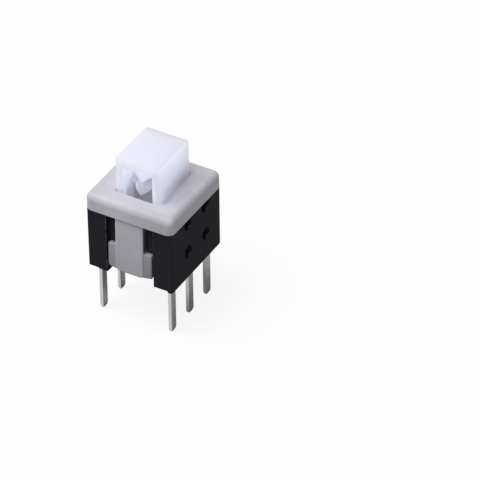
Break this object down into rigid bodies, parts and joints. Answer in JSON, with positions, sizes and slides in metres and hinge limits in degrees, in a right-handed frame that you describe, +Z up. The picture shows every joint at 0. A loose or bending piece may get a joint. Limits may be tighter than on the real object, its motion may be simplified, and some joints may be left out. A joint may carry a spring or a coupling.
{
  "type": "self-locking push button switch",
  "caption": "Self-locking push button switch: a rectangular button in a square snap-together case, with flat pins below for a circuit board.",
  "frame": {"origin": "centre of the footprint, in the plane where the case's standoff pads sit on the circuit board", "axes": "+Z up along the button's travel, +X to the right terminal row, +Y to the back; the latch wire is at the front (-Y)"},
  "size_m": [0.0058, 0.0058, 0.0109],
  "materials": {
    "case_black": "moulded black plastic, fine satin",
    "cover_grey": "moulded grey plastic, satin",
    "button_white": "moulded white plastic, soft gloss",
    "spring_wire": "drawn steel wire",
    "contact_brass": "thin spring brass strip",
    "terminal_plate": "stamped strip with a bright tin plating"
  },
  "bodies": {
    "housing": {"base": "case_black", "cover": "cover_grey", "return_spring": "spring_wire", "terminal_left_front": "terminal_plate", "terminal_left_common": "terminal_plate", "terminal_left_rear": "terminal_plate", "terminal_right_front": "terminal_plate", "terminal_right_common": "terminal_plate", "terminal_right_rear": "terminal_plate"},
    "button": {"plunger": "button_white", "moving_contact_left": "contact_brass", "moving_contact_right": "contact_brass"},
    "latch": {"latch_pin": "spring_wire"}
  },
  "joints": [
    {"name": "button_press", "type": "slide", "parent": "housing", "child": "button", "axis": [0, 0, -1], "range_m": [0, 0.002], "stiffness_N_per_m": 750, "springref_m": -0.00133, "deforming": ["return_spring"]},
    {"name": "latch_swing", "type": "hinge", "parent": "housing", "child": "latch", "pos_m": [0, -0.0018, 0.00145], "axis": [0, -1, 0], "range_deg": [0, 2.8]}
  ],
  "couplings": [
    {"joint": "latch_swing", "follows": "button_press", "rad_per_m": 23.9}
  ]
}
